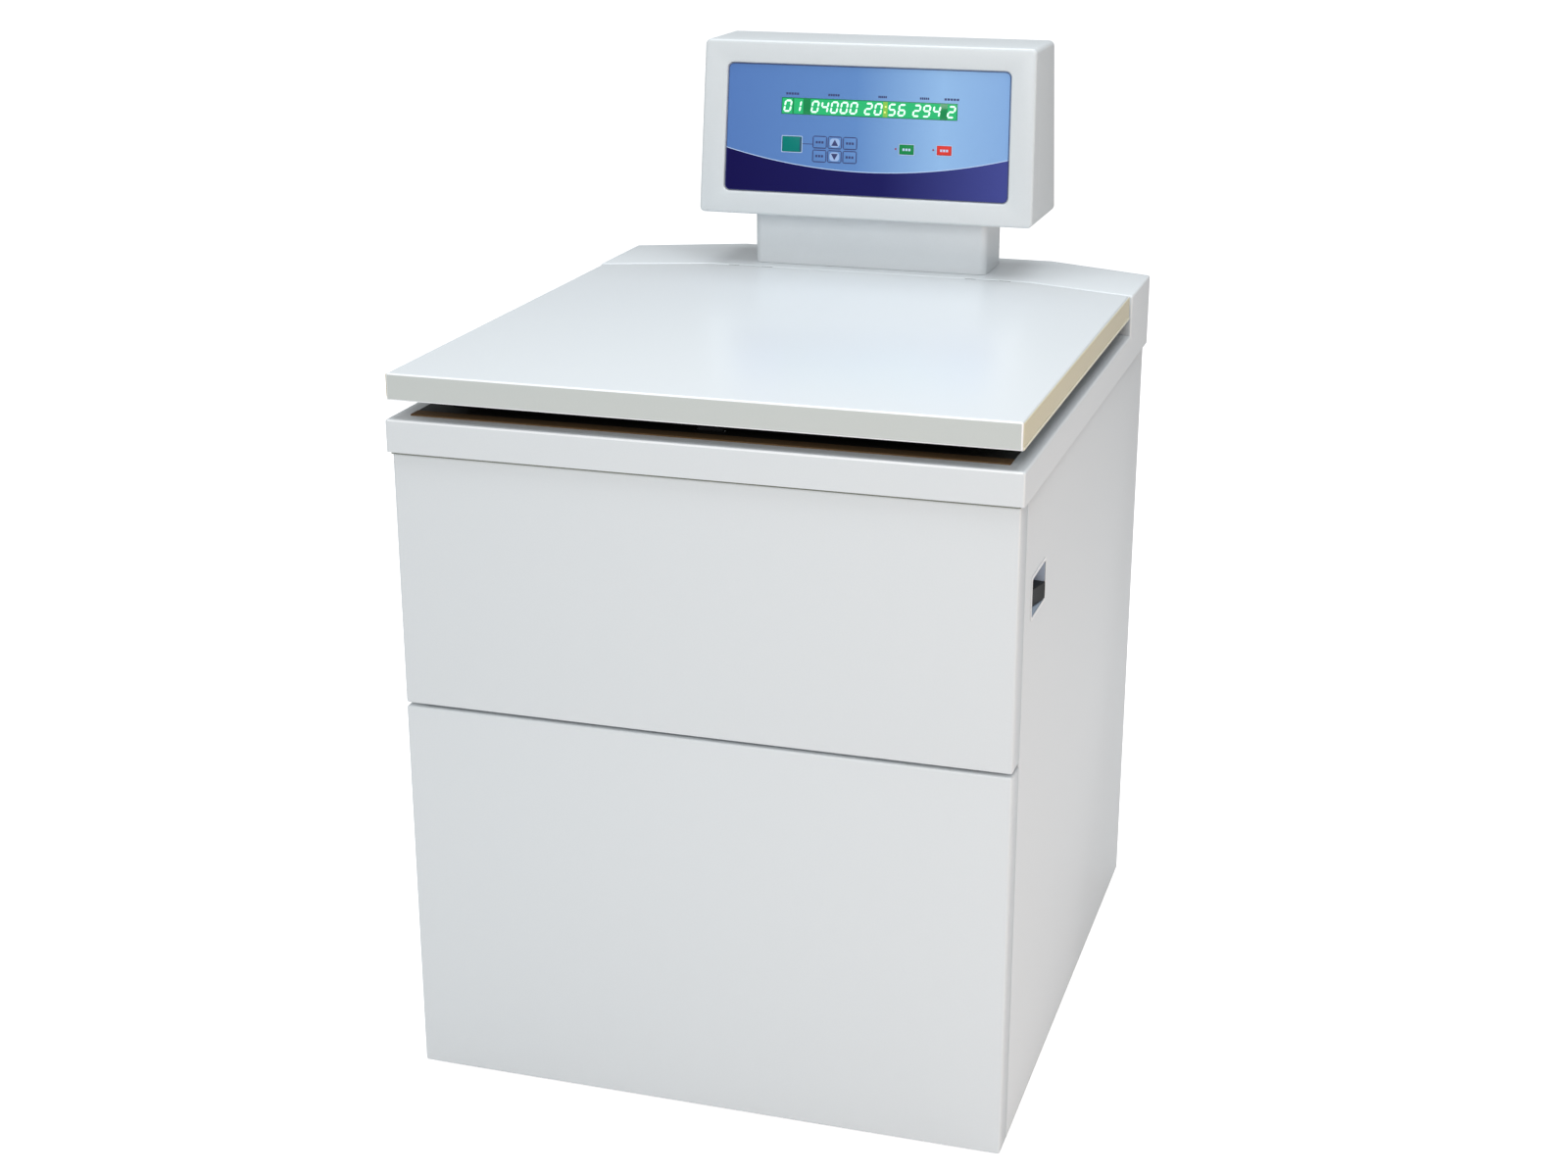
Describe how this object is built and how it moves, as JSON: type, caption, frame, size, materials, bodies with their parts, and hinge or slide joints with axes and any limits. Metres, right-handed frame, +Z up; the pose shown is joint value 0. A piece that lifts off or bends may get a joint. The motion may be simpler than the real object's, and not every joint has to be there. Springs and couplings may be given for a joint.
{
  "type": "laboratory centrifuge",
  "caption": "Floor-standing laboratory centrifuge: square enamelled cabinet, front-opening top lid over a cooled swing-out rotor chamber, and a console on a rear pedestal.",
  "frame": {"origin": "centre of the footprint at floor level, under the cabinet", "axes": "+Z up, front and console face towards -Y, +X to the operator's right"},
  "size_m": [0.709, 0.8386, 1.1463],
  "materials": {
    "white_enamel": "gloss enamel, faintly blue-white",
    "black_plastic": "matt moulded",
    "grey_plastic": "satin moulded, light blue-grey",
    "black_rubber": "matt",
    "stainless": "satin, turned",
    "zinc_plate": "zinc plated",
    "black_enamel": "semi-gloss enamel",
    "copper": "drawn copper tube",
    "anodised_aluminium": "satin anodised",
    "foam": "rigid polyurethane foam",
    "membrane_blue": "printed polyester overlay",
    "display_green": "smoked green window with lit segments",
    "key_teal": "printed overlay",
    "key_green": "printed overlay",
    "key_red": "printed overlay"
  },
  "bodies": {
    "cabinet": {"base_tray": "zinc_plate", "foot_front_left": "black_rubber", "foot_front_right": "black_rubber", "foot_rear_left": "black_rubber", "foot_rear_right": "black_rubber", "drive_frame": "zinc_plate", "left_side_panel": "white_enamel", "right_side_panel": "white_enamel", "upper_front_panel": "white_enamel", "lower_front_panel": "white_enamel", "rear_panel": "white_enamel", "top_cover": "white_enamel", "chamber_bowl": "stainless", "chamber_insulation": "foam", "evaporator_coil": "copper", "armour_ring": "zinc_plate", "chamber_gasket": "black_rubber", "drive_motor": "black_enamel", "motor_damper_1": "black_rubber", "motor_damper_2": "black_rubber", "motor_damper_3": "black_rubber", "compressor": "black_enamel", "condenser": "anodised_aluminium", "motor_inverter": "grey_plastic", "power_inlet": "black_plastic", "switch_recess": "grey_plastic", "hinge_bracket_left": "zinc_plate", "hinge_bracket_right": "zinc_plate", "lock_housing": "black_plastic", "pedestal": "white_enamel", "console_bezel": "white_enamel", "console_rear_shell": "white_enamel", "membrane_panel": "membrane_blue", "display_window": "display_green"},
    "lid": {"lid_skin": "white_enamel", "lid_frame": "zinc_plate", "lid_liner": "black_plastic"},
    "rotor": {"drive_shaft": "stainless", "rotor_head": "anodised_aluminium", "rotor_nut": "stainless"},
    "bucket_1": {"bucket_1": "anodised_aluminium"},
    "bucket_2": {"bucket_2": "anodised_aluminium"},
    "bucket_3": {"bucket_3": "anodised_aluminium"},
    "bucket_4": {"bucket_4": "anodised_aluminium"},
    "condenser_fan": {"condenser_fan": "black_plastic"},
    "gas_cylinder_left": {"gas_cylinder_left": "black_enamel"},
    "gas_rod_left": {"gas_rod_left": "black_enamel"},
    "gas_cylinder_right": {"gas_cylinder_right": "black_enamel"},
    "gas_rod_right": {"gas_rod_right": "black_enamel"},
    "lock_hook": {"lock_hook": "zinc_plate"},
    "switch_rocker": {"switch_rocker": "black_plastic"},
    "mode_key": {"mode_key": "key_teal"},
    "start_key": {"start_key": "key_green"},
    "stop_key": {"stop_key": "key_red"},
    "set_key_1": {"set_key_1": "membrane_blue"},
    "set_key_2": {"set_key_2": "membrane_blue"},
    "set_key_3": {"set_key_3": "membrane_blue"},
    "set_key_4": {"set_key_4": "membrane_blue"},
    "set_key_5": {"set_key_5": "membrane_blue"},
    "set_key_6": {"set_key_6": "membrane_blue"}
  },
  "joints": [
    {"name": "lid_hinge", "type": "hinge", "parent": "cabinet", "child": "lid", "pos_m": [0, 0.2695, 0.8535], "axis": [-1, 0, 0], "range_deg": [0, 75]},
    {"name": "rotor_spin", "type": "hinge", "parent": "cabinet", "child": "rotor", "pos_m": [0, -0.0775, 0.711], "axis": [0, 0, 1], "continuous": true},
    {"name": "bucket_1_swing", "type": "hinge", "parent": "rotor", "child": "bucket_1", "pos_m": [0.122, -0.0775, 0.711], "axis": [0, -1, 0], "range_deg": [0, 90]},
    {"name": "bucket_2_swing", "type": "hinge", "parent": "rotor", "child": "bucket_2", "pos_m": [0, 0.0445, 0.711], "axis": [1, 0, 0], "range_deg": [0, 90]},
    {"name": "bucket_3_swing", "type": "hinge", "parent": "rotor", "child": "bucket_3", "pos_m": [-0.122, -0.0775, 0.711], "axis": [0, 1, 0], "range_deg": [0, 90]},
    {"name": "bucket_4_swing", "type": "hinge", "parent": "rotor", "child": "bucket_4", "pos_m": [0, -0.1995, 0.711], "axis": [-1, 0, 0], "range_deg": [0, 90]},
    {"name": "fan_spin", "type": "hinge", "parent": "cabinet", "child": "condenser_fan", "pos_m": [0, 0.295, 0.225], "axis": [0, 1, 0], "continuous": true},
    {"name": "gas_cylinder_left_swing", "type": "hinge", "parent": "cabinet", "child": "gas_cylinder_left", "pos_m": [-0.327, -0.0205, 0.5605], "axis": [1, 0, 0], "range_deg": [0, 1.3]},
    {"name": "gas_rod_left_slide", "type": "slide", "parent": "gas_cylinder_left", "child": "gas_rod_left", "axis": [0, 0.5625, 0.8268], "range_m": [0, 0.1225]},
    {"name": "gas_cylinder_right_swing", "type": "hinge", "parent": "cabinet", "child": "gas_cylinder_right", "pos_m": [0.327, -0.0205, 0.5605], "axis": [1, 0, 0], "range_deg": [0, 1.3]},
    {"name": "gas_rod_right_slide", "type": "slide", "parent": "gas_cylinder_right", "child": "gas_rod_right", "axis": [0, 0.5625, 0.8268], "range_m": [0, 0.1225]},
    {"name": "lock_hook_turn", "type": "hinge", "parent": "cabinet", "child": "lock_hook", "pos_m": [0, -0.379, 0.75], "axis": [-1, 0, 0], "range_deg": [0, 12], "stiffness_Nm_per_rad": 0.3},
    {"name": "switch_rocker_tilt", "type": "hinge", "parent": "cabinet", "child": "switch_rocker", "pos_m": [0.3365, -0.308, 0.634], "axis": [0, 0, 1], "range_deg": [0, 14]},
    {"name": "mode_key_press", "type": "slide", "parent": "cabinet", "child": "mode_key", "axis": [0, 1, 0], "range_m": [0, 0.0005], "stiffness_N_per_m": 300},
    {"name": "start_key_press", "type": "slide", "parent": "cabinet", "child": "start_key", "axis": [0, 1, 0], "range_m": [0, 0.0005], "stiffness_N_per_m": 300},
    {"name": "stop_key_press", "type": "slide", "parent": "cabinet", "child": "stop_key", "axis": [0, 1, 0], "range_m": [0, 0.0005], "stiffness_N_per_m": 300},
    {"name": "set_key_1_press", "type": "slide", "parent": "cabinet", "child": "set_key_1", "axis": [0, 1, 0], "range_m": [0, 0.0005], "stiffness_N_per_m": 300},
    {"name": "set_key_2_press", "type": "slide", "parent": "cabinet", "child": "set_key_2", "axis": [0, 1, 0], "range_m": [0, 0.0005], "stiffness_N_per_m": 300},
    {"name": "set_key_3_press", "type": "slide", "parent": "cabinet", "child": "set_key_3", "axis": [0, 1, 0], "range_m": [0, 0.0005], "stiffness_N_per_m": 300},
    {"name": "set_key_4_press", "type": "slide", "parent": "cabinet", "child": "set_key_4", "axis": [0, 1, 0], "range_m": [0, 0.0005], "stiffness_N_per_m": 300},
    {"name": "set_key_5_press", "type": "slide", "parent": "cabinet", "child": "set_key_5", "axis": [0, 1, 0], "range_m": [0, 0.0005], "stiffness_N_per_m": 300},
    {"name": "set_key_6_press", "type": "slide", "parent": "cabinet", "child": "set_key_6", "axis": [0, 1, 0], "range_m": [0, 0.0005], "stiffness_N_per_m": 300}
  ],
  "couplings": [
    {"joint": "gas_cylinder_left_swing", "follows": "lid_hinge", "ratio": 0.014748},
    {"joint": "gas_rod_left_slide", "follows": "lid_hinge", "m_per_rad": 0.093151},
    {"joint": "gas_cylinder_right_swing", "follows": "lid_hinge", "ratio": 0.014748},
    {"joint": "gas_rod_right_slide", "follows": "lid_hinge", "m_per_rad": 0.093151}
  ]
}
